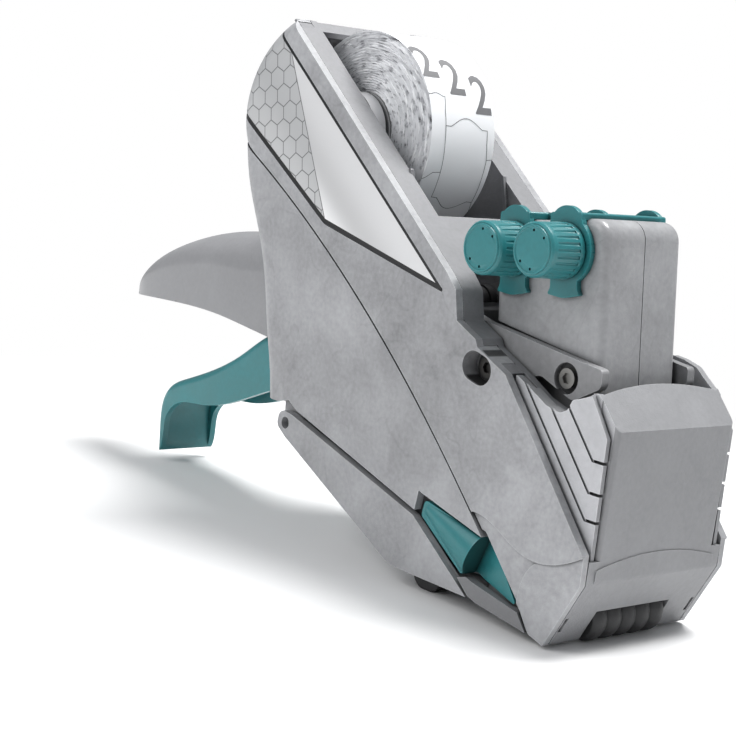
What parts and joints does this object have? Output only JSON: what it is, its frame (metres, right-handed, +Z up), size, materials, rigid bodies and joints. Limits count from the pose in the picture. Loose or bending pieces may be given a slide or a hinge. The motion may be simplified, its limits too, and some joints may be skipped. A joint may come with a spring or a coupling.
{
  "type": "price labeler",
  "caption": "Hand-held price labeler with a label roll in an open magazine, a swinging print head with setting knobs, a squeeze lever under the handle and a nose roller.",
  "frame": {"origin": "centre of the flat underside of the rubber foot bar", "axes": "+X towards the nose where the labels come out, +Y towards the side without the setting knobs, +Z up"},
  "size_m": [0.2104, 0.0536, 0.132],
  "materials": {
    "body_gray": "fine satin texture",
    "frame_gray": "fine satin texture",
    "hood_gray": "fine satin texture",
    "teal": "satin",
    "sticker_silver": "printed film",
    "steel": "turned",
    "spring_steel": "drawn wire",
    "black_rubber": "soft",
    "type_rubber": "soft",
    "dark_plastic": "satin",
    "cartridge_yellow": "satin",
    "ink_foam": "porous",
    "label_paper": "smooth paper",
    "white_plastic": "satin"
  },
  "bodies": {
    "casing": {"main_frame": "frame_gray", "right_side_cover": "body_gray", "left_side_cover": "body_gray", "right_side_sticker": "sticker_silver", "left_side_sticker": "sticker_silver", "right_rear_housing": "body_gray", "left_rear_housing": "body_gray", "handle": "body_gray", "nose_base": "body_gray", "peel_plate": "steel", "platen_pad": "black_rubber", "trigger_pivot_pin": "steel", "trigger_spring": "spring_steel", "head_pivot_shaft": "steel", "housing_screws": "steel", "ink_pins": "steel", "feed_shaft": "steel", "applicator_axle": "steel", "right_roll_hub": "frame_gray", "left_roll_hub": "frame_gray", "label_strip": "label_paper", "flap_hinge_pin": "steel"},
    "trigger_lever": {"trigger": "teal"},
    "print_head": {"head_carrier": "body_gray", "right_head_cover": "body_gray", "left_head_cover": "body_gray", "knob_yoke": "teal", "type_block": "dark_plastic", "head_screws": "steel", "front_type_bands": "type_rubber", "rear_type_bands": "type_rubber", "front_band_wheels": "white_plastic", "rear_band_wheels": "white_plastic"},
    "front_knob_turner": {"front_knob": "teal"},
    "rear_knob_turner": {"rear_knob": "teal"},
    "ink_swing": {"ink_cartridge": "cartridge_yellow"},
    "ink_roll": {"ink_roller": "ink_foam"},
    "feed_gear": {"feed_pinion": "white_plastic"},
    "feed_puller": {"feed_wheel": "dark_plastic"},
    "guide_sleeve": {"guide_roller": "white_plastic"},
    "front_hood": {"front_cover": "hood_gray"},
    "smoothing_roller": {"applicator_roller": "black_rubber"},
    "flap": {"bottom_flap": "body_gray", "foot_bar": "black_rubber", "pressure_roller_axle": "steel"},
    "pressing_roller": {"pressure_roller": "black_rubber"},
    "right_latch": {"right_latch_button": "teal"},
    "left_latch": {"left_latch_button": "teal"},
    "paper_roll": {"label_roll": "label_paper", "roll_core": "white_plastic"}
  },
  "joints": [
    {"name": "trigger_pivot", "type": "hinge", "parent": "casing", "child": "trigger_lever", "pos_m": [-0.0185, 0, 0.04], "axis": [0, 1, 0], "range_deg": [0, 14], "stiffness_Nm_per_rad": 0.8, "springref_deg": -25.78, "deforming": ["trigger_spring"]},
    {"name": "head_pivot", "type": "hinge", "parent": "casing", "child": "print_head", "pos_m": [-0.0225, 0, 0.0665], "axis": [0, 1, 0], "range_deg": [0, 12]},
    {"name": "front_knob_turn", "type": "hinge", "parent": "print_head", "child": "front_knob_turner", "pos_m": [0.02575, 0, 0.08585], "axis": [0, 1, 0], "continuous": true},
    {"name": "rear_knob_turn", "type": "hinge", "parent": "print_head", "child": "rear_knob_turner", "pos_m": [0.01005, 0, 0.08403], "axis": [0, 1, 0], "continuous": true},
    {"name": "ink_arm_pivot", "type": "hinge", "parent": "casing", "child": "ink_swing", "pos_m": [0.0445, 0, 0.032], "axis": [0, 1, 0], "range_deg": [-40, 0]},
    {"name": "ink_roller_spin", "type": "hinge", "parent": "ink_swing", "child": "ink_roll", "pos_m": [0.035, 0, 0.02], "axis": [0, 1, 0], "continuous": true},
    {"name": "pinion_turn", "type": "hinge", "parent": "casing", "child": "feed_gear", "pos_m": [0.00734, 0, 0.01565], "axis": [0, 1, 0], "range_deg": [-62.47, 0]},
    {"name": "feed_wheel_turn", "type": "hinge", "parent": "casing", "child": "feed_puller", "pos_m": [0.00734, 0, 0.01565], "axis": [0, 1, 0], "continuous": true},
    {"name": "guide_roller_spin", "type": "hinge", "parent": "casing", "child": "guide_sleeve", "pos_m": [-0.0225, 0, 0.0665], "axis": [0, 1, 0], "continuous": true},
    {"name": "front_cover_hinge", "type": "hinge", "parent": "casing", "child": "front_hood", "pos_m": [0.042, 0, 0.0055], "axis": [0, 1, 0], "range_deg": [0, 50]},
    {"name": "applicator_spin", "type": "hinge", "parent": "casing", "child": "smoothing_roller", "pos_m": [0.042, 0, 0.0055], "axis": [0, 1, 0], "continuous": true},
    {"name": "flap_hinge", "type": "hinge", "parent": "casing", "child": "flap", "pos_m": [-0.053, 0, 0.0295], "axis": [0, 1, 0], "range_deg": [0, 55]},
    {"name": "pressure_roller_spin", "type": "hinge", "parent": "flap", "child": "pressing_roller", "pos_m": [-0.0014, 0, 0.0104], "axis": [0, 1, 0], "continuous": true},
    {"name": "right_latch_press", "type": "slide", "parent": "casing", "child": "right_latch", "axis": [0, 1, 0], "range_m": [0, 0.0015], "stiffness_N_per_m": 600, "springref_m": -0.002},
    {"name": "left_latch_press", "type": "slide", "parent": "casing", "child": "left_latch", "axis": [0, -1, 0], "range_m": [0, 0.0015], "stiffness_N_per_m": 600, "springref_m": -0.002},
    {"name": "label_roll_spin", "type": "hinge", "parent": "casing", "child": "paper_roll", "pos_m": [-0.05149, 0, 0.1053], "axis": [0, 1, 0], "continuous": true}
  ],
  "couplings": [
    {"joint": "head_pivot", "follows": "trigger_pivot", "ratio": 0.85714},
    {"joint": "ink_arm_pivot", "follows": "trigger_pivot", "ratio": -2.8571},
    {"joint": "pinion_turn", "follows": "trigger_pivot", "ratio": -4.4615}
  ]
}
